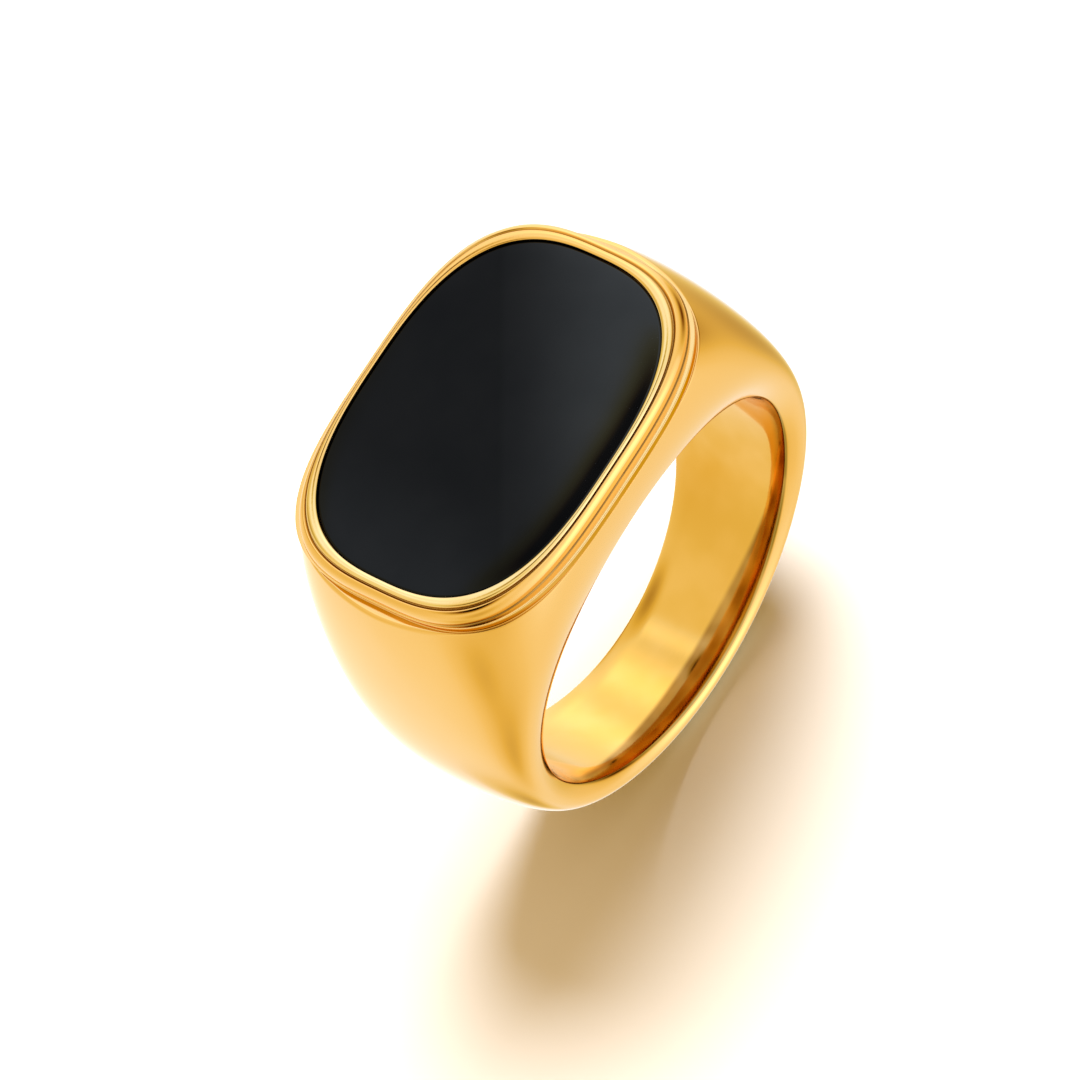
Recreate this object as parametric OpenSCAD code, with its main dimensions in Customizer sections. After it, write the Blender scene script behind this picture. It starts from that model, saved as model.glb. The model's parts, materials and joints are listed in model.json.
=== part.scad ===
// Signet ring: a cast shank with a raised plinth, and a flat black tablet held in a soldered setting.
// Millimetres. The origin is the centre of the finger hole, +Y runs along the finger, +Z points to the
// tablet and +X runs across the finger.

/* [Finger hole] */
// Inside diameter of the ring
bore_d = 19; // [17:0.1:21]

/* [Shank] */
// Width along the finger at the head
head_w = 13.6; // [13:0.1:14]
// Width along the finger at each side
side_w = 8.1; // [7:0.1:9]
// Width along the finger at the back
back_w = 5.2; // [4.5:0.1:6]
// Thickness of the metal at the back
back_t = 1.25; // [1:0.05:1.6]
// Thickness gained evenly from the back to the head
taper_t = 2.45; // [2:0.05:3]
// Thickness gained by the shoulders close to the head
shoulder_t = 7.25; // [6.8:0.05:8]
// How close to the head the shoulders start to rise, where more is closer
shoulder_power = 7.2; // [6.5:0.1:8]
// Outward lean of the side faces, in mm for each mm of thickness, at the head, side and back
lean = [0.38, 0.72, 0.59]; // [0.3:0.01:0.8]
// Flatness of the crown of the cross-section at the head, side and back
crown = [1.82, 2.74, 3.21]; // [1.7:0.01:3.5]
// Flatness of the side faces of the cross-section at the head, side and back
cheek = [1.59, 2.16, 2.54]; // [1.5:0.01:3]

/* [Tablet] */
// Length of the tablet across the finger
stone_l = 17.74; // [17:0.01:18]
// Width of the tablet along the finger
stone_w = 13.31; // [13:0.01:13.5]
// Thickness of the tablet
stone_t = 0.75; // [0.7:0.01:0.8]
// Radius of the tablet's upper edge
stone_edge_r = 0.15; // [0.1:0.01:0.4]
// Squareness of the tablet's outline, where 2 is an ellipse
squareness = 2.73; // [2.5:0.01:3]
// Gap between the tablet and the wall of the setting
stone_gap = 0.02; // [0.01:0.01:0.04]

/* [Setting] */
// Height of the tablet's face above the finger hole
head_rise = 3.95; // [3.9:0.01:4]
// Squareness of the outlines of the collar and the plinth
outer_squareness = 3.2; // [3.1:0.05:3.3]
// Squareness of the lip's outer outline
lip_squareness = 3; // [2.9:0.05:3.1]
// Reach of the bright lip beyond the tablet, at the ends and at the sides
lip = [0.37, 0.2]; // [0.2:0.01:0.39]
// Height of the lip's crest above the tablet
lip_rise = 0.06; // [0.02:0.01:0.1]
// Reach of the convex collar beyond the tablet, at the ends and at the sides
collar = [0.82, 0.46]; // [0.4:0.01:0.82]
// Thickness of the solder under the setting
seam_t = 0.05; // [0.04:0.01:0.08]

/* [Head] */
// Reach of the plinth beyond the tablet, at the ends and at the sides
ledge = [0.88, 0.86]; // [0.85:0.01:0.9]
// Height of the plinth above the shoulders
plinth_h = 0.5; // [0.45:0.01:0.6]
// Width of the bearing that the tablet's rim rests on
bearing_w = 1; // [0.8:0.05:1.4]
// Depth of the cement bed under the tablet
cement_t = 0.4; // [0.3:0.05:0.5]

/* [Hidden] */
bore_r = bore_d / 2;
stone_z = bore_r + head_rise;
plinth_z = stone_z - stone_t;

// The shoulders end in a flat, and the plinth reaches a little way down into it.
shoulder_z = plinth_z - plinth_h;
plinth_root = 0.1;
// The cross-sections reach a little inside the finger hole, which then cuts them.
inner_depth = 0.8;
// The crown of a cross-section ends in a narrow flat at this angle of its sweep.
crown_end = 86;

// Angles of the cross-sections from the head to the back, closest where the shoulders meet the flat.
half_angles = [each [0:4:28], each [31:1:45], each [48:4:180]];
section_angles = [each half_angles, for (i = [len(half_angles) - 2:-1:1]) 360 - half_angles[i]];
// Number of points up each side of a cross-section.
cheek_count = 14;
// Number of points round the tablet's outline.
outline_count = 80;

// The groove between the lip and the collar, and the collar's height.
groove_w = 0.03;
groove_h = 0.12;
collar_h = 0.55;
// How far the solder shows round the foot of the collar.
seam_fillet = 0.04;
overcut = 1;
gold = "goldenrod";
onyx = "black";

// A value that runs smoothly from the head at 0 degrees, past the side at 90, to the back at 180.
function round_ring(angle, v) =
    v[1] + (v[0] - v[2]) / 2 * cos(angle) + ((v[0] + v[2]) / 2 - v[1]) * pow(cos(angle), 2);

// Thickness of the uncut shank at an angle from the head.
function thickness(angle) =
    let (nearness = (1 + cos(angle)) / 2)
    back_t + taper_t * nearness + shoulder_t * pow(nearness, shoulder_power);

// Half the width of the shank at an angle and a height above the finger hole.
function half_width(angle, height) =
    round_ring(angle, [head_w, side_w, back_w]) / 2 + round_ring(angle, lean) * height;

// Where the flat under the plinth stops the sweep of a cross-section.
function sweep_end(angle) =
    let (limit = cos(angle) > 0.5 ? shoulder_z / cos(angle) - bore_r : 100)
    limit < thickness(angle)
        ? min(crown_end, asin(pow(limit / thickness(angle), round_ring(angle, crown) / 2)))
        : crown_end;

// One side of a cross-section, as height above the finger hole and distance from the middle.
function cheek_side(angle) = [
    [-inner_depth, half_width(angle, -inner_depth)],
    for (i = [1:cheek_count])
        let (
            sweep = sweep_end(angle) * i / cheek_count,
            height = thickness(angle) * pow(sin(sweep), 2 / round_ring(angle, crown))
        )
        [height, half_width(angle, height) * pow(cos(sweep), 2 / round_ring(angle, cheek))]
];

// A whole cross-section, placed at its angle round the finger.
function cross_section(angle) =
    let (side = cheek_side(angle), last = len(side) - 1)
    [
        for (p = side)
            [(bore_r + p[0]) * sin(angle), p[1], (bore_r + p[0]) * cos(angle)],
        for (i = [last:-1:0])
            let (p = side[i])
            [(bore_r + p[0]) * sin(angle), -p[1], (bore_r + p[0]) * cos(angle)]
    ];

// The triangles between neighbouring loops of m points, where n loops close on themselves. The diagonals
// change sides at the middle of the loops, so that the ring is the same at both ends and on both sides.
function loop_faces(n, m) = [
    for (i = [0:n - 1], j = [0:m - 1])
        let (
            a = i * m + j,
            b = i * m + (j + 1) % m,
            c = ((i + 1) % n) * m + (j + 1) % m,
            d = ((i + 1) % n) * m + j
        )
        each (i < n / 2) == (j < m / 2) ? [[a, b, c], [a, c, d]] : [[a, b, d], [b, c, d]]
];

// Closed ring through equal loops of points.
module swept_ring(loops) {
    polyhedron(
        points = [for (l = loops) each l],
        faces = loop_faces(len(loops), len(loops[0]))
    );
}

// Outlines are superellipses, each given as [reach at the ends, reach at the sides, squareness], where a
// reach is measured from the tablet's outline.
stone_outline = [0, 0, squareness];
lip_outline = [lip[0], lip[1], lip_squareness];
collar_outline = [collar[0], collar[1], outer_squareness];
plinth_outline = [ledge[0], ledge[1], outer_squareness];

function outline_point(shape, t) =
    let (power = 2 / shape[2])
    [
        (stone_l / 2 + shape[0]) * sign(cos(t)) * pow(abs(cos(t)), power),
        (stone_w / 2 + shape[1]) * sign(sin(t)) * pow(abs(sin(t)), power)
    ];

// The tablet's outline moved outwards by e.
function offset_stone(e) = [e, e, squareness];

// An outline part of the way from one to another.
function blend(from, to, part) = from + (to - from) * part;

// A ring round the tablet whose cross-section is a closed profile of [outline, drop] points.
module outline_ring(profile) {
    swept_ring([
        for (i = [0:outline_count - 1])
            [
                for (q = profile)
                    let (p = outline_point(q[0], 360 * i / outline_count))
                    [p[0], p[1], stone_z - q[1]]
            ]
    ]);
}

// A plate of the given outline between two drops below the tablet's face.
module outline_plate(shape, top, bottom) {
    translate([0, 0, stone_z - bottom])
        linear_extrude(bottom - top)
            polygon([for (i = [0:outline_count - 1]) outline_point(shape, 360 * i / outline_count)]);
}

module finger_hole() {
    rotate([90, 0, 0])
        cylinder(r = bore_r, h = 2 * head_w, center = true, $fn = 96);
}

module ring_body() {
    color(gold)
        difference() {
            union() {
                swept_ring([for (angle = section_angles) cross_section(-angle)]);
                outline_plate(plinth_outline, stone_t, stone_t + plinth_h + plinth_root);
            }
            finger_hole();
            outline_plate(offset_stone(-bearing_w), stone_t - overcut, stone_t + cement_t);
        }
}

// The lip's crest, from its inner edge to the groove.
function lip_curve() = [
    for (part = [0:0.25:1])
        [blend(stone_outline, lip_outline, part), part == 1 ? 0 : -lip_rise * sin(45 + 90 * part)]
];

// The convex collar, from the groove under the lip down to its foot.
function collar_curve() = [
    for (s = [0:22.5:90])
        [blend(lip_outline, collar_outline, sin(s)), groove_w + (collar_h - groove_w) * (1 - cos(s))]
];

module bezel_frame() {
    foot = stone_t - seam_t;
    color(gold)
        outline_ring(concat(
            [[stone_outline, foot]],
            lip_curve(),
            [[lip_outline, groove_h]],
            [[blend(lip_outline, collar_outline, 0.08), groove_h]],
            [for (i = [1:4]) collar_curve()[i]],
            [[collar_outline, foot]]
        ));
}

module solder_seam() {
    fillet = [seam_fillet, seam_fillet, 0];
    color(gold)
        outline_ring([
            [offset_stone(stone_gap), stone_t],
            [offset_stone(stone_gap), stone_t - seam_t],
            [collar_outline, stone_t - seam_t],
            [collar_outline + fillet / 2, stone_t - seam_t * 0.8],
            [collar_outline + fillet, stone_t]
        ]);
}

// The rounded upper edge is a stair of plates that all reach down into the body of the tablet.
module onyx_inlay() {
    color(onyx) {
        outline_plate(offset_stone(-stone_gap), stone_edge_r, stone_t);
        for (s = [22.5:22.5:90])
            outline_plate(
                offset_stone(-stone_gap - stone_edge_r * (1 - cos(s))),
                stone_edge_r * (1 - sin(s)),
                stone_t - stone_edge_r / 2
            );
    }
}

module cement_bed() {
    color("beige")
        outline_plate(offset_stone(-bearing_w), stone_t, stone_t + cement_t);
}

ring_body();
bezel_frame();
solder_seam();
onyx_inlay();
cement_bed();
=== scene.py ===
import json
import math

import bmesh
import bpy
import numpy as np
from mathutils import Matrix, Vector


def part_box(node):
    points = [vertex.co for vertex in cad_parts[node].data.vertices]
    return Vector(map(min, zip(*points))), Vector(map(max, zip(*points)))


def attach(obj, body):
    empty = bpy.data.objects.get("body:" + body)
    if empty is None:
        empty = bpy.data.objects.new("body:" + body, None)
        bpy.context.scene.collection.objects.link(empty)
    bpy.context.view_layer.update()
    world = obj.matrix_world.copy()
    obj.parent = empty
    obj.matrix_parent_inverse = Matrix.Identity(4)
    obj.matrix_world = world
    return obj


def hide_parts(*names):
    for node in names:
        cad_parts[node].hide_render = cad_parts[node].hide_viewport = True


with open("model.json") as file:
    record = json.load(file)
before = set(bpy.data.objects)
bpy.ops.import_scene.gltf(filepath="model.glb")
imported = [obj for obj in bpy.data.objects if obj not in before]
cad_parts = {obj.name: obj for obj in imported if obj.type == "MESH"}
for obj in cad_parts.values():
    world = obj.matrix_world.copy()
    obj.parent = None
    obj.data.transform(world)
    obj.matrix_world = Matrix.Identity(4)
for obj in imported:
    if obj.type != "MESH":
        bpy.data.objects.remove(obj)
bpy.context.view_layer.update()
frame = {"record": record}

# A signet ring: a casting with a raised plinth, and a flat black tablet in a soldered setting. The origin is
# the centre of the finger hole, +Y runs along the finger, +Z points to the tablet and +X runs across the
# finger. Lengths are in millimetres and angles in radians, unless a comment says otherwise.
MM = 0.001
QUARTER_TURN = math.pi / 2
# A height just over nothing, which a power can be taken of.
TINY = 1e-6

# Places that the frame gives: the finger hole, the tablet, the setting, the cement and the ring's foot.
MOUNTS = {mount["name"]: mount for mount in frame["record"]["mounts"]}
BORE_R = MOUNTS["finger_bore"]["dims"]["r_mm"]
STONE_LOW, STONE_HIGH = (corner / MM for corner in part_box("onyx_inlay"))
BEZEL_LOW, BEZEL_HIGH = (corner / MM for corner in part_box("bezel_frame"))
CEMENT_LOW, CEMENT_HIGH = (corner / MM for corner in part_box("cement_bed"))
RING_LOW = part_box("ring_body")[0] / MM
FACE_Z = STONE_HIGH.z
PLINTH_Z = STONE_LOW.z
BEZEL_FOOT = BEZEL_LOW.z
LIP_RISE = BEZEL_HIGH.z - FACE_Z

# The shank, as part.scad has it. Each triple holds the value at the head, the side and the back.
RIM_WIDTH = (13.6, 8.1, 5.2)
LEAN = (0.38, 0.72, 0.59)
CROWN = (1.82, 2.74, 3.21)
CHEEK = (1.59, 2.16, 2.54)
BACK_T, TAPER_T, SHOULDER_T, SHOULDER_POWER = 1.25, 2.45, 7.25, 7.2
PLINTH_H = 0.5
SHOULDER_Z = PLINTH_Z - PLINTH_H

# The finger hole opens out a little towards each rim, and the rim itself is softly rounded.
FLARE, FLARE_W, RIM_R = 0.2, 1.2, 0.1
# The radii of the flat's outer edge, of the plinth's foot and of its upper edge, and how far that foot
# stands in from that edge.
FLAT_R, FOOT_R, EDGE_R, UNDERCUT = 0.16, 0.04, 0.02, 0.1
# The flat's least width, and the most of its width that its soft edge and the plinth's foot take.
FLAT_MIN, FLAT_R_SHARE, FOOT_R_SHARE = 0.012, 0.6, 0.3

# The groove between the lip and the collar: its depth, and its width as a share of the collar's.
GROOVE_H, GROOVE_SHARE = 0.15, 0.08
# How far below the tablet's face the collar's curve starts and ends, and the solder round its foot.
COLLAR_TOP, COLLAR_END = 0.03, 0.6
SEAM_FILLET = 0.04
# The lip's profile: part of the way from the tablet to the groove, and height as a share of the crest's.
LIP_PROFILE = ((0.0, 0.3), (0.2, 0.85), (0.5, 1.0), (0.8, 0.75), (1.0, 0.0))
# Radii of the setting's small turns, and of the solder's.
BEZEL_FOOT_R, LIP_R, GROOVE_R, COLLAR_R, SOLDER_R = 0.02, 0.06, 0.015, 0.04, 0.004

# The tablet: its gap, the radius of its upper edge and how far its face falls from the middle to that edge.
STONE_GAP = 0.02
EDGE_RADIUS = 0.15
ROLL_OFF = 0.09

# How finely the pieces are divided.
JOIN_ANGLE = math.radians(62)
END_STEPS, SIDE_STEPS, BACK_STEPS = 72, 104, 220
SKIRT_STEPS, BORE_STEPS, FLARE_STEPS, ARC_STEPS, EDGE_STEPS, TURN_STEPS = 36, 16, 10, 7, 5, 4
COLLAR_STEPS, STONE_EDGE_STEPS, STONE_FACE_STEPS = 9, 14, 39
ROUND_STEPS, DENSE_STEPS = 360, 16000
# Rows crowd together near the flat, and near the tablet's edge, where more is closer.
SKIRT_CROWDING, FACE_CROWDING = 1.7, 1.4


# ---------------------------------------------------------------- shape of the shank

def round_ring(angle, values):
    """A value that runs smoothly from the head at 0, past the side at a quarter turn, to the back."""
    head, side, back = values
    c = np.cos(angle)
    return side + (head - back) / 2 * c + ((head + back) / 2 - side) * c * c


def thickness(angle):
    """Thickness of the shank before the head is cut flat."""
    nearness = (1 + np.cos(angle)) / 2
    return BACK_T + TAPER_T * nearness + SHOULDER_T * nearness ** SHOULDER_POWER


def half_width(angle, height):
    """Half the width of the shank at a height above the finger hole."""
    return round_ring(angle, RIM_WIDTH) / 2 + round_ring(angle, LEAN) * height


def shank_point(angle, sweep):
    """A point on the shank: angle goes round the finger, sweep from the +Y rim over the crown."""
    height = thickness(angle) * np.abs(np.sin(sweep)) ** (2 / round_ring(angle, CROWN))
    across = np.abs(np.cos(sweep)) ** (2 / round_ring(angle, CHEEK)) * np.sign(np.cos(sweep))
    radius = BORE_R + height
    return np.stack(
        [radius * np.sin(angle), half_width(angle, height) * across, radius * np.cos(angle)], -1
    )


def shank_parts(point):
    """Angle, and the two terms whose sum is 1 on the shank's surface and less inside it."""
    x, y, z = point[..., 0], point[..., 1], point[..., 2]
    angle = np.arctan2(x, z)
    height = np.maximum(np.hypot(x, z) - BORE_R, TINY)
    up = (height / thickness(angle)) ** round_ring(angle, CROWN)
    out = (np.abs(y) / half_width(angle, height)) ** round_ring(angle, CHEEK)
    return angle, up, out


def shank_sweep(point):
    """The angle and sweep of points on the shank."""
    angle, up, out = shank_parts(point)
    return np.column_stack([angle, np.arctan2(np.sqrt(up), np.sqrt(out) * np.sign(point[:, 1]))])


def rim_sweep(angle, height):
    """The sweep at which the shank's cheek is that high above the finger hole."""
    return np.arcsin((height / thickness(angle)) ** (round_ring(angle, CROWN) / 2))


def level_points(bearing, z, nearest=4.0, furthest=14.0, halvings=40):
    """Where the shank is met at height z, going out from the tablet's axis at each bearing.

    It is found by halving the stretch between the nearest and the furthest distance.
    """
    def at(distance):
        return np.column_stack([distance * np.cos(bearing), distance * np.sin(bearing), z])

    low, high = np.full(len(bearing), nearest), np.full(len(bearing), furthest)
    for _ in range(halvings):
        middle = (low + high) / 2
        _, up, out = shank_parts(at(middle))
        inside = up + out < 1
        low, high = np.where(inside, middle, low), np.where(inside, high, middle)
    return at(low)


# ---------------------------------------------------------------- outlines

def grow(shape, offset):
    """An outline moved outwards."""
    return shape + np.array([offset, offset, 0])


def reach(ends, sides, squareness):
    """The outline that reaches so far beyond the tablet at its ends and at its sides."""
    return np.array([STONE[0] + ends, STONE[1] + sides, squareness])


# Outlines are superellipses, held as half length, half width and squareness. STONE is the wall's, round the
# tablet and its gap.
STONE = np.array([STONE_HIGH.x + STONE_GAP, STONE_HIGH.y + STONE_GAP, 2.73])
LIP = reach(0.37, 0.2, 3.0)
COLLAR = reach(0.82, 0.46, 3.2)
PLINTH = reach(0.88, 0.86, 3.2)
BEARING = grow(STONE, CEMENT_HIGH.x - STONE[0])


def outline(shape, turns):
    """Points of an outline, where a turn of 0 is its +X end and a quarter turn its +Y side."""
    half_x, half_y, squareness = shape
    c, s = np.cos(turns), np.sin(turns)
    power = 2 / squareness
    return np.stack(
        [half_x * np.sign(c) * np.abs(c) ** power, half_y * np.sign(s) * np.abs(s) ** power], -1
    )


# Turns close together all round the tablet, and the length of its outline up to each.
DENSE_TURNS = np.linspace(0, 2 * np.pi, DENSE_STEPS + 1)
DENSE_GAPS = np.linalg.norm(np.diff(outline(STONE, DENSE_TURNS), axis=0), axis=1)
DENSE_LENGTH = np.concatenate([[0], np.cumsum(DENSE_GAPS)])


def turns_at(shares):
    """The turns at given shares of the tablet's outline, measured from +X anticlockwise."""
    return np.interp(np.asarray(shares) % 1 * DENSE_LENGTH[-1], DENSE_LENGTH, DENSE_TURNS)


ROUND = turns_at(np.arange(ROUND_STEPS) / ROUND_STEPS)


def level(shape, turns, z):
    """One row of points round an outline."""
    flat = outline(shape, turns)
    return np.column_stack([flat, np.full(len(flat), z)])


# ---------------------------------------------------------------- mesh helpers

class Sheet:
    """Collects grids of points as quads, and welds them into one mesh."""

    # Points closer than this become one.
    WELD = 1e-4

    def __init__(self):
        self.points = []
        self.faces = []
        self.count = 0

    def grid(self, rows, closed=False):
        """rows is an array [rows, columns, 3]; closed joins the last column to the first."""
        rows = np.asarray(rows, float)
        n, m = rows.shape[:2]
        self.points.append(rows.reshape(-1, 3))
        base = self.count
        self.count += n * m
        for i in range(n - 1):
            for j in range(m if closed else m - 1):
                a, b = base + i * m + j, base + i * m + (j + 1) % m
                self.faces.append((a, b, b + m, a + m))

    def cap(self, loop):
        """One flat face over a loop of points."""
        self.points.append(np.asarray(loop, float))
        self.faces.append(tuple(range(self.count, self.count + len(loop))))
        self.count += len(loop)

    def build(self, name):
        """Makes the mesh and its object, smooth all over."""
        mesh = bpy.data.meshes.new(name)
        mesh.from_pydata((np.concatenate(self.points) * MM).tolist(), [], self.faces)
        work = bmesh.new()
        work.from_mesh(mesh)
        bmesh.ops.remove_doubles(work, verts=work.verts, dist=self.WELD * MM)
        bmesh.ops.recalc_face_normals(work, faces=work.faces)
        for face in work.faces:
            face.smooth = True
        work.to_mesh(mesh)
        work.free()
        piece = bpy.data.objects.new(name, mesh)
        bpy.context.scene.collection.objects.link(piece)
        return piece


def blend(a, b, part):
    """The row, outline or number that is part of the way from a to b."""
    return a + (b - a) * part


def across_flat(before, after, parts):
    """Rows over a flat stretch. Those close to its ends keep the shading of the rounded edges off it."""
    return [blend(before, after, part) for part in parts]


def curve(start, corner, end, steps):
    """Rows that bend smoothly from one row to another, drawn towards a corner."""
    return [
        (1 - u) ** 2 * start + 2 * u * (1 - u) * corner + u * u * end for u in np.linspace(0, 1, steps)
    ]


def arc(before, corner, after, reach_before, reach_after, steps):
    """Rows that turn the corner between two rows, starting and ending at given distances from it."""
    def towards(row, distance):
        way = row - corner
        return corner + way * (distance / np.linalg.norm(way, axis=1))[:, None]

    return curve(towards(before, reach_before), corner, towards(after, reach_after), steps)


def rounded(rows, radii, most=0.45, past=1.1):
    """A closed run of rows with every corner turned by a small arc, and a row just past each end of it.

    An arc takes at most that share of the stretches beside it.
    """
    out = []
    count = len(rows)
    for k in range(count):
        before, after = rows[k - 1], rows[(k + 1) % count]
        near = np.minimum(radii[k], most * np.linalg.norm(before - rows[k], axis=1))
        far = np.minimum(radii[k], most * np.linalg.norm(after - rows[k], axis=1))
        turn = arc(before, rows[k], after, near, far, TURN_STEPS)
        out += [blend(rows[k], turn[0], past)] + turn + [blend(rows[k], turn[-1], past)]
    return out


# ---------------------------------------------------------------- the cast ring

def crown_limits(angle):
    """The first and last sweep of the shank's outer surface, clear of the rounded rims."""
    start = rim_sweep(angle, FLARE + RIM_R)
    return start, np.pi - start


def head_boundary():
    """The edge of the head: its angles and sweeps, and the matching turns of the tablet's outline.

    It goes along the +X end, the -Y side, the -X end and the +Y side. The shares of an end and the angles of
    a side are returned too, for what joins them.
    """
    end_share = np.linspace(0, 1, END_STEPS + 1)
    side_share = np.linspace(0, 1, SIDE_STEPS + 1)
    join = np.full(END_STEPS + 1, JOIN_ANGLE)
    near, far = crown_limits(JOIN_ANGLE)
    ends = near + (far - near) * end_share
    sides = JOIN_ANGLE * (1 - 2 * side_share)
    boundary = np.concatenate([
        np.column_stack([join, ends])[:-1],
        np.column_stack([sides, crown_limits(sides)[1]])[:-1],
        np.column_stack([-join, ends[::-1]])[:-1],
        np.column_stack([sides[::-1], crown_limits(sides)[0]])[:-1],
    ])
    # The share of the tablet's outline from its +X end to the corner next to it.
    corner = np.interp(QUARTER_TURN / 2, DENSE_TURNS, DENSE_LENGTH) / DENSE_LENGTH[-1]
    shares = np.concatenate([
        corner - 2 * corner * end_share[:-1],
        -corner - (0.5 - 2 * corner) * side_share[:-1],
        0.5 + corner - 2 * corner * end_share[:-1],
        0.5 - corner - (0.5 - 2 * corner) * side_share[:-1],
    ])
    return boundary, turns_at(shares), end_share, sides


def ring_body():
    """The head with its flat, plinth, ledge and seat, the rest of the shank, and the finger hole."""
    sheet = Sheet()
    boundary, turns, end_share, sides = head_boundary()

    # The flat under the plinth: its outer edge on the shank, and the foot of the plinth's wall inside it.
    top = level(PLINTH, turns, PLINTH_Z)
    bearing = np.arctan2(top[:, 1], top[:, 0])
    flat_z = np.full(len(turns), SHOULDER_Z)
    edge = level_points(bearing, flat_z)
    edge_reach = np.hypot(edge[:, 0], edge[:, 1])
    foot_reach = np.minimum(np.hypot(top[:, 0], top[:, 1]) - UNDERCUT, edge_reach - FLAT_MIN)
    flat_w = edge_reach - foot_reach
    foot = np.column_stack([foot_reach * np.cos(bearing), foot_reach * np.sin(bearing), flat_z])
    soft = np.minimum(FLAT_R, FLAT_R_SHARE * flat_w)
    below = level_points(bearing, SHOULDER_Z - soft)
    flat_edge = arc(below, edge, foot, np.linalg.norm(below - edge, axis=1), soft, ARC_STEPS)

    # The skirt runs from the edge of the head up to the flat, with closer rows near the flat.
    hole = shank_sweep(below)
    rise = 1 - (1 - np.linspace(0, 1, SKIRT_STEPS + 1)) ** SKIRT_CROWDING
    skirt = [shank_point(*(boundary + (hole - boundary) * u).T) for u in rise[:-1]]
    sheet.grid(skirt + flat_edge, closed=True)

    # The flat, the plinth's wall, the ledge round the setting and the seat for the tablet.
    seat_edge = level(BEARING, turns, PLINTH_Z)
    seat = level(BEARING, turns, CEMENT_LOW.z)
    foot_r = np.full(len(turns), FOOT_R)
    edge_r = np.full(len(turns), EDGE_R)
    fillet = arc(edge, foot, top, np.minimum(FOOT_R, FOOT_R_SHARE * flat_w), foot_r, EDGE_STEPS)
    crest = arc(foot, top, seat_edge, edge_r, edge_r, EDGE_STEPS)
    rows = [flat_edge[-1]] + across_flat(flat_edge[-1], fillet[0], (0.1, 0.9)) + fillet
    rows += across_flat(fillet[-1], crest[0], (0.02, 0.33, 0.66, 0.98)) + crest
    rows += across_flat(crest[-1], seat_edge, (0.01, 0.99)) + [seat_edge, seat]
    sheet.grid(rows, closed=True)
    sheet.cap(seat)

    # The rest of the shank.
    round_back = np.linspace(JOIN_ANGLE, 2 * np.pi - JOIN_ANGLE, BACK_STEPS + 1)
    near, far = crown_limits(round_back)
    sheet.grid([shank_point(a, n + (f - n) * end_share) for a, n, f in zip(round_back, near, far)])

    everywhere = np.concatenate([sides[::-1], round_back[1:-1]])
    sheet.grid(finger_hole(everywhere), closed=True)
    return sheet.build("ring_casting")


def finger_hole(angle):
    """Rows from the +Y cheek, round the soft rim, through the finger hole and out to the other cheek."""
    outer = shank_point(angle, rim_sweep(angle, FLARE + RIM_R))
    crease = shank_point(angle, rim_sweep(angle, FLARE))
    half = crease[:, 1]

    def inside(distance):
        """The wall of the hole at that distance from the rim."""
        radius = BORE_R + FLARE * np.clip(1 - distance / FLARE_W, 0, 1) ** 2
        return np.column_stack([radius * np.sin(angle), half - distance, radius * np.cos(angle)])

    rim = curve(outer, crease, inside(RIM_R), ARC_STEPS)
    flare = [inside(d) for d in np.linspace(RIM_R, FLARE_W, FLARE_STEPS + 1)[1:]]
    near_side = rim + flare
    far_side = [row * np.array([1, -1, 1]) for row in near_side[::-1]]
    middle = [blend(near_side[-1], far_side[0], u) for u in np.linspace(0, 1, BORE_STEPS + 1)[1:-1]]
    return near_side + middle + far_side


# ---------------------------------------------------------------- the setting, the tablet and what joins them

def closed_profile(name, corners):
    """A ring round the tablet. Each corner of its cross-section is an outline, a drop and a radius."""
    shapes, drops, radii = zip(*corners)
    rows = rounded([level(shape, ROUND, FACE_Z - drop) for shape, drop in zip(shapes, drops)], radii)
    sheet = Sheet()
    sheet.grid(rows + rows[:1], closed=True)
    return sheet.build(name)


def bezel_frame():
    """A bright lip against the tablet, a fine groove, and a convex collar that runs down to the ledge."""
    foot = FACE_Z - BEZEL_FOOT
    corners = [(STONE, foot, BEZEL_FOOT_R)]
    corners += [(blend(STONE, LIP, part), -height * LIP_RISE, LIP_R) for part, height in LIP_PROFILE]
    corners += [(LIP, GROOVE_H, GROOVE_R), (blend(LIP, COLLAR, GROOVE_SHARE), GROOVE_H, GROOVE_R)]
    for s in np.linspace(QUARTER_TURN / 5, QUARTER_TURN, COLLAR_STEPS):
        drop = COLLAR_TOP + (COLLAR_END - COLLAR_TOP) * (1 - math.cos(s))
        corners.append((blend(LIP, COLLAR, math.sin(s)), drop, COLLAR_R))
    corners.append((COLLAR, foot, BEZEL_FOOT_R))
    return closed_profile("setting_frame", corners)


def solder_seam():
    """The solder under the setting, which shows as a small fillet round the collar's foot."""
    low = FACE_Z - PLINTH_Z
    top = FACE_Z - BEZEL_FOOT
    corners = [
        (grow(STONE, STONE_GAP), low, SOLDER_R),
        (grow(STONE, STONE_GAP), top, SOLDER_R),
        (COLLAR, top, SOLDER_R),
        (grow(COLLAR, SEAM_FILLET / 2), top + SEAM_FILLET / 2, SOLDER_R),
        (grow(COLLAR, SEAM_FILLET), low, SOLDER_R),
    ]
    return closed_profile("solder_fillet", corners)


def tablet_drop(part):
    """How far the face has fallen at that part of the way to its edge: a slight dish and a late roll."""
    return ROLL_OFF * (0.2 * part ** 2 + 0.8 * part ** 10)


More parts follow.
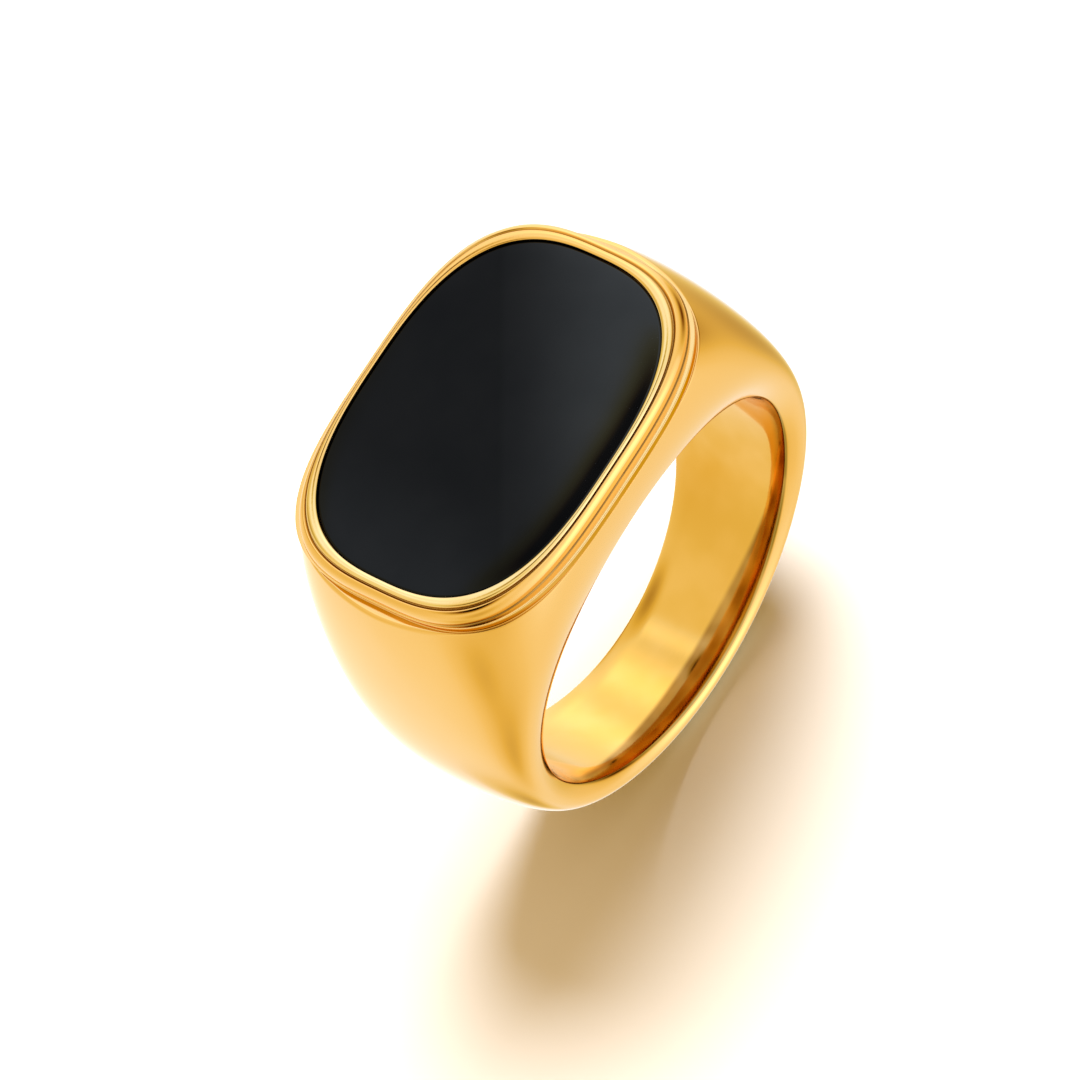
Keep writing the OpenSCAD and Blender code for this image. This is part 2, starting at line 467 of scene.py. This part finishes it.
def onyx_inlay():
    """A flat tablet that falls away very slightly towards its softly rounded edge."""
    low = level(grow(STONE, -STONE_GAP), ROUND, STONE_LOW.z)
    rows = [low]
    for s in np.linspace(0, QUARTER_TURN, STONE_EDGE_STEPS):
        shape = grow(STONE, -STONE_GAP - EDGE_RADIUS * (1 - math.cos(s)))
        rows.append(level(shape, ROUND, FACE_Z - ROLL_OFF - EDGE_RADIUS * (1 - math.sin(s))))
    rim = rows[-1]
    # The rows stop just short of the middle, where a small flat face closes them.
    inwards = np.linspace(0, 0.985, STONE_FACE_STEPS + 1)[1:]
    for part in 1 - inwards ** FACE_CROWDING:
        rows.append(np.column_stack([rim[:, :2] * part, np.full(len(rim), FACE_Z - tablet_drop(part))]))
    sheet = Sheet()
    sheet.grid(rows, closed=True)
    sheet.cap(rows[-1])
    sheet.cap(low)
    return sheet.build("onyx_tablet")


def cement_bed():
    """A thin plate that fills the seat under the tablet."""
    low, high = (level(BEARING, ROUND, z) for z in (CEMENT_LOW.z, CEMENT_HIGH.z))
    sheet = Sheet()
    sheet.grid([low, high], closed=True)
    sheet.cap(low)
    sheet.cap(high)
    return sheet.build("cement_layer")


# ---------------------------------------------------------------- materials

class Nodes:
    """A node tree whose nodes are added one call at a time."""

    def __init__(self, tree):
        self.tree = tree

    def feed(self, slot, value):
        """Sets an input to a number or colour, or links another node's output to it."""
        if isinstance(value, bpy.types.NodeSocket):
            self.tree.links.new(value, slot)
        else:
            slot.default_value = value

    def math(self, operation, *inputs, clamp=False):
        """A Math node's output, whose inputs are numbers or other nodes' outputs."""
        node = self.tree.nodes.new("ShaderNodeMath")
        node.operation = operation
        node.use_clamp = clamp
        for slot, value in zip(node.inputs, inputs):
            self.feed(slot, value)
        return node.outputs[0]


class Material(Nodes):
    """A material with one shader, whose patterns are measured in millimetres on the piece."""

    def __init__(self, name):
        self.material = bpy.data.materials.new(name)
        self.material.use_nodes = True
        super().__init__(self.material.node_tree)
        self.shader = self.tree.nodes["Principled BSDF"]
        coordinates = self.tree.nodes.new("ShaderNodeTexCoord")
        scale = self.tree.nodes.new("ShaderNodeVectorMath")
        scale.operation = "SCALE"
        scale.inputs["Scale"].default_value = 1 / MM
        self.tree.links.new(coordinates.outputs["Object"], scale.inputs[0])
        self.place = scale.outputs[0]

    def set(self, **inputs):
        """Feeds the shader's inputs, which are named with _ for each space."""
        for key, value in inputs.items():
            self.feed(self.shader.inputs[key.replace("_", " ")], value)

    def xyz(self):
        """The three coordinates of the place on the piece."""
        split = self.tree.nodes.new("ShaderNodeSeparateXYZ")
        self.tree.links.new(self.place, split.inputs[0])
        return split.outputs

    def noise(self, size, detail, roughness=0.5, stretch=(1, 1, 1), offset=(0, 0, 0)):
        """Noise whose lumps are about that many millimetres across."""
        mapping = self.tree.nodes.new("ShaderNodeMapping")
        mapping.inputs["Scale"].default_value = stretch
        mapping.inputs["Location"].default_value = offset
        self.tree.links.new(self.place, mapping.inputs["Vector"])
        node = self.tree.nodes.new("ShaderNodeTexNoise")
        node.inputs["Scale"].default_value = 1 / size
        node.inputs["Detail"].default_value = detail
        node.inputs["Roughness"].default_value = roughness
        self.tree.links.new(mapping.outputs[0], node.inputs["Vector"])
        return node.outputs["Fac"]

    def ramp(self, value, zero_at, one_at):
        """A mask: 0 at one end, 1 at the other and smooth between. Either end may be the greater."""
        node = self.tree.nodes.new("ShaderNodeMapRange")
        node.interpolation_type = "SMOOTHSTEP"
        self.feed(node.inputs["Value"], value)
        self.feed(node.inputs["From Min"], zero_at)
        self.feed(node.inputs["From Max"], one_at)
        return node.outputs["Result"]

    def both(self, first, second):
        """A mask where two masks overlap, or a mask made weaker by a factor."""
        return self.math("MULTIPLY", first, second)

    def remap(self, value, low, high):
        """0 to 1 becomes low to high."""
        return self.math("MULTIPLY_ADD", value, high - low, low)

    def mix(self, factor, first, second):
        """The first colour where the factor is 0 and the second where it is 1."""
        node = self.tree.nodes.new("ShaderNodeMix")
        node.data_type = "RGBA"
        for name, value in (("Factor_Float", factor), ("A_Color", first), ("B_Color", second)):
            slot = next(i for i in node.inputs if i.identifier == name)
            if isinstance(value, tuple):
                value = (*value, 1)
            self.feed(slot, value)
        return next(o for o in node.outputs if o.identifier == "Result_Color")

    def bump(self, height, strength, distance):
        """Fine relief for the shader, whose deepest marks are that distance."""
        node = self.tree.nodes.new("ShaderNodeBump")
        node.inputs["Strength"].default_value = strength
        node.inputs["Distance"].default_value = distance * MM
        self.feed(node.inputs["Height"], height)
        self.feed(self.shader.inputs["Normal"], node.outputs[0])

    def openness(self, distance):
        """1 on open surfaces, less in grooves narrower than the distance."""
        node = self.tree.nodes.new("ShaderNodeAmbientOcclusion")
        node.samples = 8
        node.inputs["Distance"].default_value = distance * MM
        return node.outputs["AO"]


# Tints as a share of the light that comes back. Those for the wall, ledge, lip, flare, solder, hollows,
# grooves and finger hole, and the tablet's gloss, are painted reflections, light and shade that the studio's
# soft tones don't give. Most are placed by position on the ring, mostly on its +Y side, so the -Y side is
# plainer than the +Y side. Those in hollows and grooves follow how open the surface is.
WHITE = (1.0, 1.0, 1.0)
GOLD = (1.0, 0.62, 0.2)
PALE_GOLD = (1.0, 0.64, 0.22)
BORE_DEEP_REFLECTION = (0.88, 0.5, 0.09)
WALL_DARK_REFLECTION = (0.62, 0.36, 0.08)
WALL_EDGE_REFLECTION = (1.0, 0.62, 0.25)
LEDGE_PALE_REFLECTION = (1.0, 0.75, 0.36)
SOLDER_SHADE = (0.3, 0.16, 0.04)
HOLLOW_LIGHTENING = (0.97, 0.8, 0.5)
SETTING_HOLLOW_SHADE = (0.5, 0.33, 0.11)
LIP_HIGHLIGHT = (1.0, 0.8, 0.4)
FLARE_DARK_REFLECTION = (0.45, 0.32, 0.1)
GROOVE_SHADE = (0.16, 0.07, 0.012)
BORE_REFLECTION = (0.92, 0.57, 0.14)
BORE_SHADE = (0.34, 0.16, 0.025)
STONE_BLACK = (0.001, 0.0013, 0.002)
STONE_CLOUD = (0.003, 0.0033, 0.004)
STONE_SHEEN = (0.82, 0.92, 1.0)
CEMENT_DEEP = (0.74, 0.68, 0.5)
CEMENT_PALE = (0.86, 0.82, 0.68)
CEMENT_SPECK = (0.95, 0.94, 0.88)
FLOOR_TONES = (0.88, 0.88, 0.88), (0.9, 0.9, 0.9)


def polish(m, tint, painted_hollow_tint, dark=1.0):
    """Mirror polish with faint cloudiness and hairline swirls, painted shade in grooves and a given painted
    tint in hollows.
    """
    cloud = m.noise(size=2.6, detail=2)
    swirl = m.noise(size=0.5, detail=4, roughness=0.6, stretch=(1, 3.5, 1))
    # Painted shade: grooves found by ambient occlusion turn dark brown.
    groove = m.both(m.ramp(m.openness(0.25), zero_at=0.62, one_at=0.2), dark)
    # Painted light or shade: hollows found by ambient occlusion take the given hollow tint.
    hollow_paint = m.both(m.ramp(m.openness(0.9), zero_at=0.86, one_at=0.3), 0.85)
    cloudy = m.both(m.ramp(cloud, zero_at=0.35, one_at=0.75), 0.5)
    colour = m.mix(hollow_paint, m.mix(cloudy, tint, PALE_GOLD), painted_hollow_tint)
    wear = m.math("ADD", m.math("MULTIPLY", cloud, 0.6), m.math("MULTIPLY", swirl, 0.4))
    m.set(Base_Color=m.mix(groove, colour, GROOVE_SHADE), Metallic=1.0, Roughness=m.remap(wear, 0.05, 0.13))
    m.bump(swirl, strength=0.25, distance=0.004)


def rim_depth(m, upward, y):
    """How far inside the hole's +Y rim a point is, from the hole's width at its angle."""
    head, side, back = RIM_WIDTH
    half = m.math("MULTIPLY_ADD", upward, (head - back) / 4, side / 2)
    half = m.math("MULTIPLY_ADD", m.math("MULTIPLY", upward, upward), ((head + back) / 2 - side) / 2, half)
    return m.math("SUBTRACT", half, y)


def bore_tint(m, y, upward, radius):
    """Painted darker reflection in the finger hole, a deeper gold mottled at random, and painted shade along
    the low part of its +Y rim.
    """
    mottle = m.noise(size=6.5, detail=1, roughness=0.3, stretch=(1, 0.6, 1), offset=(3, 1, 7))
    tint = m.mix(m.ramp(mottle, zero_at=0.34, one_at=0.66), BORE_DEEP_REFLECTION, BORE_REFLECTION)
    # The band of painted shade starts that share of the radius below the hole's centre, and is widest at the
    # bottom.
    start = 0.35
    low = m.math("MULTIPLY_ADD", upward, -1 / (1 - start), -start / (1 - start), clamp=True)
    band_w = m.math("MULTIPLY", low, m.remap(m.noise(size=5, detail=1), 1.2, 1.5))
    past_band = m.math("SUBTRACT", rim_depth(m, upward, y), band_w)
    tint = m.mix(m.ramp(past_band, zero_at=0.12, one_at=-0.2), tint, BORE_SHADE)
    # Painted dark reflection on the flare at the +Y rim, which would mirror something dark.
    flare_reflection = m.both(m.ramp(radius, BORE_R + 0.03, BORE_R + 0.12), m.ramp(y, 0.0, 1.0))
    return m.mix(flare_reflection, tint, FLARE_DARK_REFLECTION)


def cast_gold():
    """The casting: polished outside and a deeper, mottled gold inside the finger hole, with painted light,
    shade and reflections.
    """
    m = Material("cast_gold")
    x, y, z = m.xyz()
    radius = m.math("SQRT", m.math("MULTIPLY_ADD", x, x, m.math("MULTIPLY", z, z)))
    upward = m.math("DIVIDE", z, radius)
    # Painted darker reflection: inside the finger hole the gold is deeper.
    inside = m.ramp(radius, zero_at=BORE_R + FLARE + 0.06, one_at=BORE_R + FLARE)
    # Painted dark reflection on the wall under the plinth's edge, which would mirror something dark.
    above_flat = m.ramp(z, SHOULDER_Z + 0.02, SHOULDER_Z + 0.06)
    below_edge = m.ramp(z, PLINTH_Z - 0.05, PLINTH_Z - 0.09)
    wall = m.both(above_flat, below_edge)
    # Painted reflection: the ledge on the +Y side mirrors the collar, and a paler tint keeps that from
    # turning orange.
    ledge = m.both(m.ramp(z, PLINTH_Z - 0.03, PLINTH_Z - 0.01), m.ramp(y, 3.0, 6.0))
    outside = m.mix(ledge, m.mix(wall, GOLD, WALL_DARK_REFLECTION), LEDGE_PALE_REFLECTION)
    # Painted light: hollows take a paler gold, except on the wall and the ledge, which keep their painted
    # tints.
    hollow_paint_tint = m.mix(ledge, m.mix(wall, HOLLOW_LIGHTENING, WALL_DARK_REFLECTION), LEDGE_PALE_REFLECTION)
    polish(m, m.mix(inside, outside, bore_tint(m, y, upward, radius)), hollow_paint_tint)
    # Painted reflection: the wall's reflections turn gold at grazing angles.
    m.set(Specular_Tint=m.mix(wall, WHITE, WALL_EDGE_REFLECTION))
    return m.material


def setting_gold():
    """Polished gold with painted shade in its hollows, and a painted highlight on the lip and painted shade
    in the groove towards the +X end and the +Y side.
    """
    m = Material("setting_gold")
    x, y, z = m.xyz()
    along = m.math("MULTIPLY_ADD", y, 0.8, m.math("MULTIPLY", x, 0.6))
    # Painted highlight on the lip and painted shade in the groove, both stronger towards the +X end and the
    # +Y side.
    painted_side = m.ramp(along, -6.0, 2.0)
    lip = m.both(m.ramp(z, FACE_Z - 0.06, FACE_Z - 0.02), painted_side)
    polish(m, m.mix(lip, GOLD, LIP_HIGHLIGHT), SETTING_HOLLOW_SHADE, m.remap(painted_side, 0.12, 0.95))
    return m.material


def solder_gold():
    """The solder line, with painted shade along the +Y side and in its hollows."""
    m = Material("solder_gold")
    y = m.xyz()[1]
    polish(m, m.mix(m.ramp(y, 2.5, 5.5), GOLD, SOLDER_SHADE), SOLDER_SHADE)
    return m.material


def black_onyx():
    """Polished black stone with a faint cloudiness, a few hairline scratches and a painted reflection in its
    gloss.
    """
    m = Material("black_onyx")
    x, y, _ = m.xyz()
    # Painted reflection: the gloss grows slantwise across the face with one sharper step, and towards +X, as
    # a soft reflection would.
    across = m.math("MULTIPLY_ADD", y, 0.82, m.math("MULTIPLY", x, -0.57))
    painted_sheen = m.remap(m.ramp(across, 0.5, 7.0), 0.08, 0.42)
    painted_sheen = m.math("MULTIPLY_ADD", m.ramp(across, 0.4, 0.9), 0.025, painted_sheen)
    painted_sheen = m.math("MULTIPLY_ADD", m.ramp(x, 3.0, 8.0), 0.09, painted_sheen)
    cloud = m.noise(size=4.0, detail=3)
    painted_sheen = m.math("MULTIPLY", painted_sheen, m.remap(cloud, 0.8, 1.2))
    scratch = m.noise(size=0.9, detail=5, roughness=0.65, stretch=(0.25, 2.5, 1))
    m.set(
        Base_Color=m.mix(cloud, STONE_BLACK, STONE_CLOUD),
        Roughness=m.remap(m.math("MULTIPLY", cloud, scratch), 0.04, 0.16),
        Specular_IOR_Level=painted_sheen,
        Specular_Tint=(*STONE_SHEEN, 1),
    )
    m.bump(scratch, strength=0.15, distance=0.003)
    return m.material


def cement():
    """Cured cement, a little cloudy, with specks of trapped air."""
    m = Material("jewellers_cement")
    cloud = m.noise(size=0.9, detail=4)
    specks = m.ramp(m.noise(size=0.18, detail=2), 0.62, 0.72)
    m.set(
        Base_Color=m.mix(specks, m.mix(cloud, CEMENT_DEEP, CEMENT_PALE), CEMENT_SPECK),
        Roughness=m.remap(cloud, 0.35, 0.6),
    )
    m.bump(cloud, strength=0.4, distance=0.02)
    return m.material


def dress(piece, material, node):
    """Gives a piece its material and body, and hides the CAD node that it stands for."""
    piece.data.materials.append(material)
    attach(piece, "root")
    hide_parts(node)


# ---------------------------------------------------------------- camera, floor and light

# Azimuth, elevation and roll in degrees, and the point looked at.
CAMERA_ANGLES = (156.85, 54.63, -37.2)
CAMERA_AIM = (0.69, -2.13, 1.2)
CAMERA_DISTANCE = 542.5
SENSOR, LENS = 36, 400
# The nearest and furthest that the camera sees, in metres.
CLIP = (0.01, 20)
FLOOR_REACH, FLOOR_TICKS = 1500, 9


def aim_camera():
    """A long lens, looking down at the ring's +Y side, rolled so that the tablet's length stands up."""
    azimuth, elevation, roll = (math.radians(a) for a in CAMERA_ANGLES)
    turn = Matrix.Rotation(azimuth, 4, "Z") @ Matrix.Rotation(QUARTER_TURN - elevation, 4, "X")
    turn @= Matrix.Rotation(roll, 4, "Z")
    data = bpy.data.cameras.new("camera")
    data.sensor_width = SENSOR
    data.lens = LENS
    data.clip_start, data.clip_end = CLIP
    camera = bpy.data.objects.new("camera", data)
    back = turn.to_3x3() @ Vector((0, 0, 1))
    camera.matrix_world = Matrix.Translation((Vector(CAMERA_AIM) + CAMERA_DISTANCE * back) * MM) @ turn
    bpy.context.scene.collection.objects.link(camera)
    bpy.context.scene.camera = camera


def floor():
    """A large pale floor. Polished gold doesn't mirror it, so that only the studio's tones reach the gold."""
    sheet = Sheet()
    ticks = np.linspace(-FLOOR_REACH, FLOOR_REACH, FLOOR_TICKS)
    sheet.grid([[(x, y, RING_LOW.z) for x in ticks] for y in ticks])
    piece = sheet.build("floor")
    m = Material("pale_floor")
    m.set(
        Base_Color=m.mix(m.noise(size=60, detail=2), *FLOOR_TONES),
        Roughness=0.7,
        Specular_IOR_Level=0.1,
    )
    piece.data.materials.append(m.material)
    piece.visible_glossy = False


# The studio's soft cards, brighter than the base, and flags, darker: the azimuth and elevation of each one's
# middle, how far it spreads, in degrees, and the tone that it adds.
BASE_TONE = 0.96
STUDIO = {
    "window behind": (-135, -12, 22, 0.25),
    "low window": (-95, -55, 16, 0.3),
    "left card": (-40, -40, 22, 0.03),
    "front flag": (7, -25, 8, -0.18),
    "front soft flag": (26, -28, 14, -0.08),
    "front low flag": (10, -50, 9, -0.18),
    "front low soft flag": (30, -52, 13, -0.1),
    "bottom flag": (-55, -68, 8, -0.45),
    "back flag": (-158, -44, 14, -0.45),
    "back corner flag": (168, -8, 15, -0.85),
    "side card": (104, -12, 14, 0.9),
    "ledge card": (113, 50, 8, 0.3),
    "lip card": (-137, 42, 9, 0.5),
    "bore card": (-147, 11, 9, 0.4),
    "bore flag": (-85, 36, 9, -0.45),
    "bore shade": (-40, 22, 20, -0.12),
    "tablet card": (-102, 57, 3.5, 0.25),
    "tablet flag": (-121, 64, 3.4, -1.5),
    "corner flag": (8, 64, 11, -1.2),
    "black flag": (-103, 7, 8, -0.7),
    "front right flag": (30, 8, 14, -0.3),
}
# The light that each tone stands for, from black through amber and cream to white.
TONES = (
    (0.0, (0.0, 0.0, 0.0)),
    (0.2, (0.2, 0.08, 0.01)),
    (0.4, (0.4, 0.26, 0.06)),
    (0.5, (0.5, 0.36, 0.11)),
    (0.64, (0.64, 0.5, 0.18)),
    (0.78, (0.8, 0.66, 0.25)),
    (0.92, (0.92, 0.83, 0.55)),
    (1.0, WHITE),
)


def direction(azimuth, elevation):
    """The direction at an azimuth and elevation in degrees."""
    a, e = math.radians(azimuth), math.radians(elevation)
    return Vector((math.cos(e) * math.cos(a), math.cos(e) * math.sin(a), math.sin(e)))


def world_light():
    """The studio that the polished surfaces mirror. The lamps light everything else."""
    world = bpy.data.worlds.new("studio")
    bpy.context.scene.world = world
    world.use_nodes = True
    world.cycles_visibility.diffuse = False
    nodes = Nodes(world.node_tree)
    tree = nodes.tree
    way = tree.nodes.new("ShaderNodeTexCoord").outputs["Generated"]
    tone = BASE_TONE
    for azimuth, elevation, spread, gain in STUDIO.values():
        dot = tree.nodes.new("ShaderNodeVectorMath")
        dot.operation = "DOT_PRODUCT"
        dot.inputs[1].default_value = direction(azimuth, elevation)
        tree.links.new(way, dot.inputs[0])
        sharp = math.radians(spread) ** -2
        fall = nodes.math("MULTIPLY_ADD", dot.outputs["Value"], sharp, -sharp)
        tone = nodes.math("MULTIPLY_ADD", nodes.math("EXPONENT", fall), gain, tone)
    ramp = tree.nodes.new("ShaderNodeValToRGB")
    ramp.color_ramp.elements.remove(ramp.color_ramp.elements[1])
    for k, (place, colour) in enumerate(TONES):
        stop = ramp.color_ramp.elements[0] if k == 0 else ramp.color_ramp.elements.new(place)
        stop.position = place
        stop.color = (*colour, 1)
    tree.links.new(tone, ramp.inputs["Fac"])
    background = tree.nodes["Background"]
    tree.links.new(ramp.outputs["Color"], background.inputs["Color"])
    # Tones over 1 are white that grows brighter.
    tree.links.new(nodes.math("MAXIMUM", tone, 1.0), background.inputs["Strength"])


def lamp(name, colour, energy, azimuth, elevation, spread):
    """A soft distant lamp for the floor and the shadow, which the polished gold doesn't mirror."""
    data = bpy.data.lights.new(name, "SUN")
    data.color = colour
    data.energy = energy
    data.angle = math.radians(spread)
    made = bpy.data.objects.new(name, data)
    made.rotation_euler = direction(azimuth, elevation).to_track_quat("Z", "Y").to_euler()
    made.visible_glossy = False
    bpy.context.scene.collection.objects.link(made)


dress(ring_body(), cast_gold(), "ring_body")
dress(bezel_frame(), setting_gold(), "bezel_frame")
dress(solder_seam(), solder_gold(), "solder_seam")
dress(onyx_inlay(), black_onyx(), "onyx_inlay")
dress(cement_bed(), cement(), "cement_bed")

aim_camera()
floor()
world_light()
lamp("key", WHITE, energy=5.0, azimuth=-160, elevation=57, spread=38)
lamp("warm_fill", (1.0, 0.7, 0.36), energy=2.25, azimuth=-90, elevation=80, spread=100)
bpy.context.scene.view_settings.view_transform = "Standard"
